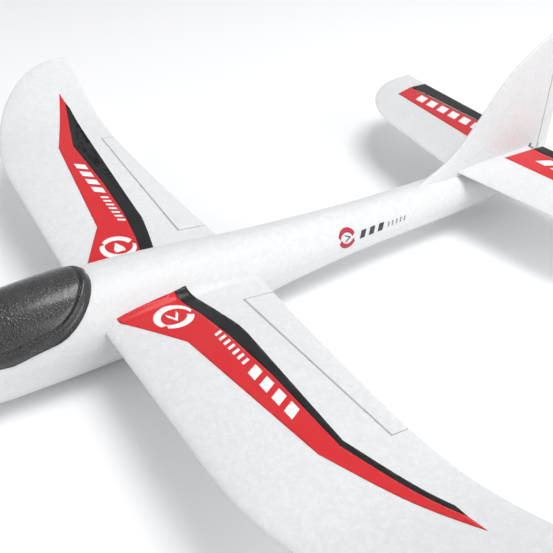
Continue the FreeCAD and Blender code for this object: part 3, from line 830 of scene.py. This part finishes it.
class GLIDER_OT_linkages(bpy.types.Operator):
    """Hinges, horns, servo arms and pushrods"""
    bl_idname = "glider.linkages"
    bl_label = "Linkages"

    def execute(self, context):
        nylon = plastic_material("nylon", (0.82, 0.82, 0.79, 1.0), 0.42)
        wire = metal_material("steel wire", (0.62, 0.62, 0.64, 1.0), 0.28)
        sleeve = plastic_material("guide sleeve", (0.8, 0.8, 0.74, 1.0), 0.35)
        for name in NODES:
            if "leaves" in name or "horn" in name or "servo_arm" in name:
                dress(nylon, name)
            if "pins" in name or "pushrod" in name or name == "elevator_joiner":
                dress(wire, name)
            if "guide_tube" in name:
                dress(sleeve, name)
        return {"FINISHED"}


class GLIDER_OT_equipment(bpy.types.Operator):
    """Servos, battery, receiver, trays, spars, magnets and ballast"""
    bl_idname = "glider.equipment"
    bl_label = "Equipment"

    def execute(self, context):
        case = plastic_material("servo case", (0.03, 0.035, 0.05, 1.0), 0.3)
        carbon = plastic_material("carbon rod", (0.02, 0.02, 0.022, 1.0), 0.25)
        wrap = plastic_material("battery wrap", (0.03, 0.09, 0.32, 1.0), 0.3)
        box = plastic_material("receiver case", (0.05, 0.05, 0.055, 1.0), 0.45)
        magnet = metal_material("magnet", (0.72, 0.72, 0.74, 1.0), 0.16)
        lead = metal_material("ballast", (0.2, 0.2, 0.21, 1.0), 0.55)
        ply = wood_material("plywood", (0.62, 0.43, 0.24, 1.0), (0.38, 0.23, 0.11, 1.0))
        dress(case, *[name for name in NODES if name.endswith("servo")])
        dress(carbon, "boom_spar", "wing_joiner")
        dress(wrap, "battery_pack")
        dress(box, "receiver")
        dress(magnet, "canopy_magnets", "fuselage_magnets")
        dress(lead, "nose_ballast")
        dress(ply, "servo_tray", "servo_side_tray")
        return {"FINISHED"}


class GLIDER_OT_stage(bpy.types.Operator):
    """Floor, soft light and camera"""
    bl_idname = "glider.stage"
    bl_label = "Stage"

    def execute(self, context):
        values = context.scene.glider_stage
        floor_paint = new_material("floor paint", tuple(values.floor), 0.9)[0]
        bpy.ops.mesh.primitive_plane_add(size=14.0, location=(0, 0, 0))
        floor = context.object
        floor.name = "floor"
        floor.data.materials.append(floor_paint)
        world = bpy.data.worlds.new("studio")
        world.use_nodes = True
        sky = world.node_tree.nodes["Background"]
        sky.inputs["Color"].default_value = (0.97, 0.98, 1.0, 1.0)
        sky.inputs["Strength"].default_value = 0.48
        context.scene.world = world
        context.scene.view_settings.view_transform = "Standard"
        target = Vector((0, 0, 0.05))
        for name, place, size, power in (("key", (0.35, 0.7, 2.4), 1.3, 38.0),
                                         ("fill", (2.0, 0.7, 0.9), 1.5, 20.0),
                                         ("front", (-0.6, -2.2, 1.5), 1.4, 10.0)):
            light = bpy.data.lights.new(name, "AREA")
            light.energy = power
            light.size = size
            lamp = bpy.data.objects.new(name, light)
            context.collection.objects.link(lamp)
            lamp.location = place
            lamp.rotation_euler = (target - Vector(place)).to_track_quat("-Z", "Y").to_euler()
        away = Vector((math.sin(values.azimuth) * math.cos(values.elevation),
                       -math.cos(values.azimuth) * math.cos(values.elevation), math.sin(values.elevation)))
        camera = bpy.data.cameras.new("camera")
        camera.lens = values.lens
        camera.sensor_width = 36.0
        camera.clip_end = 50.0
        holder = bpy.data.objects.new("camera", camera)
        context.collection.objects.link(holder)
        holder.location = values.camera_place
        holder.rotation_euler = (-away).to_track_quat("-Z", "Y").to_euler()
        context.scene.camera = holder
        return {"FINISHED"}


class GLIDER_PT_panel(bpy.types.Panel):
    """Sizes and colours of the glider and the steps that build it"""
    bl_label = "Glider"
    bl_idname = "GLIDER_PT_panel"
    bl_space_type = "VIEW_3D"
    bl_region_type = "UI"
    bl_category = "Glider"

    def draw(self, context):
        for group, steps in LAYOUT:
            values = getattr(context.scene, group)
            for key in values.bl_rna.properties.keys():
                if key not in ("rna_type", "name"):
                    self.layout.prop(values, key)
            for step in steps:
                self.layout.operator(step.bl_idname)


SETTINGS = (("glider_foam", GliderFoam), ("glider_stickers", GliderStickers),
            ("glider_canopy", GliderCanopy), ("glider_stage", GliderStage))
LAYOUT = (("glider_foam", (GLIDER_OT_foam, GLIDER_OT_root_fillets)),
          ("glider_stickers", (GLIDER_OT_wing_stickers, GLIDER_OT_tail_stickers, GLIDER_OT_boom_badges)),
          ("glider_canopy", (GLIDER_OT_canopy,)),
          ("glider_stage", (GLIDER_OT_linkages, GLIDER_OT_equipment, GLIDER_OT_stage)))
STEPS = tuple(step for group, steps in LAYOUT for step in steps)


def register():
    """Adds the settings, the steps and the panel."""
    for name, group in SETTINGS:
        bpy.utils.register_class(group)
        setattr(bpy.types.Scene, name, PointerProperty(type=group))
    for step in STEPS:
        bpy.utils.register_class(step)
    bpy.utils.register_class(GLIDER_PT_panel)


def unregister():
    """Takes them away again."""
    bpy.utils.unregister_class(GLIDER_PT_panel)
    for step in reversed(STEPS):
        bpy.utils.unregister_class(step)
    for name, group in reversed(SETTINGS):
        delattr(bpy.types.Scene, name)
        bpy.utils.unregister_class(group)


def main():
    """Builds everything in order."""
    register()
    for step in STEPS:
        area, action = step.bl_idname.split(".")
        getattr(getattr(bpy.ops, area), action)()


if __name__ == "__main__":
    main()
